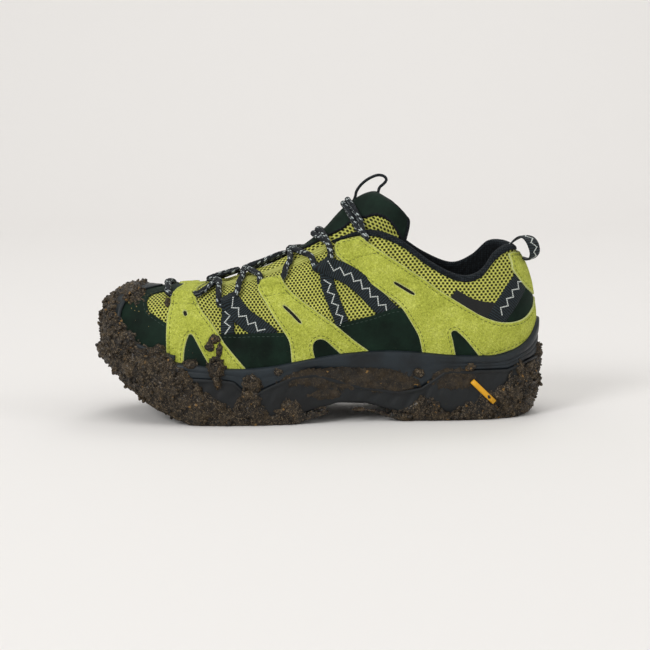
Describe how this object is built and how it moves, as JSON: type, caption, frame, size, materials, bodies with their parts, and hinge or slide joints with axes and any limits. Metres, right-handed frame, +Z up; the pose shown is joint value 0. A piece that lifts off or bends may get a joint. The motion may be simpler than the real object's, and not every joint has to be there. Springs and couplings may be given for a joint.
{
  "type": "low-cut walking shoe, left, muddy",
  "caption": "Low-cut lace-up walking shoe on a lugged rubber sole, lime suede bands over mesh, padded collar and tongue, toe and sole caked in mud.",
  "frame": {"origin": "middle of the shoe's box, at the height of the floor that it stands on", "axes": "toe to -X, heel to +X; outer side of the foot to -Y, inner side to +Y; +Z up"},
  "size_m": [0.3004, 0.1066, 0.1636],
  "materials": {
    "lining": "padded knitted lining with a rolled binding",
    "webbing": "ribbed woven tape with a pale zigzag",
    "footbed": "foot bed with a knitted face",
    "lace": "round braided lace with pale flecks",
    "foam": "moulded midsole, satin skin",
    "rubber": "moulded outsole rubber, matt, worn and muddy",
    "cap_rubber": "moulded toe cap, satin",
    "tongue_knit": "padded tongue, mesh with a smooth dark top",
    "cord": "thin smooth cord",
    "suede_and_mesh": "lime suede bands over open mesh and dark woven panels"
  },
  "bodies": {
    "root": {"collar_lining": "lining", "heel_strap_inner": "webbing", "heel_strap_outer": "webbing", "insole": "footbed", "lace_bar_1": "lace", "lace_bar_2": "lace", "lace_cross_1": "lace", "lace_cross_2": "lace", "lace_cross_3": "lace", "lace_front": "lace", "lace_loop_front_inner": "webbing", "lace_loop_front_outer": "webbing", "lace_loop_rear_inner": "webbing", "lace_loop_rear_outer": "webbing", "midsole": "foam", "outsole": "rubber", "pull_loop": "webbing", "toe_bumper": "cap_rubber", "tongue": "tongue_knit", "tongue_cord": "cord", "upper": "suede_and_mesh"}
  },
  "joints": []
}
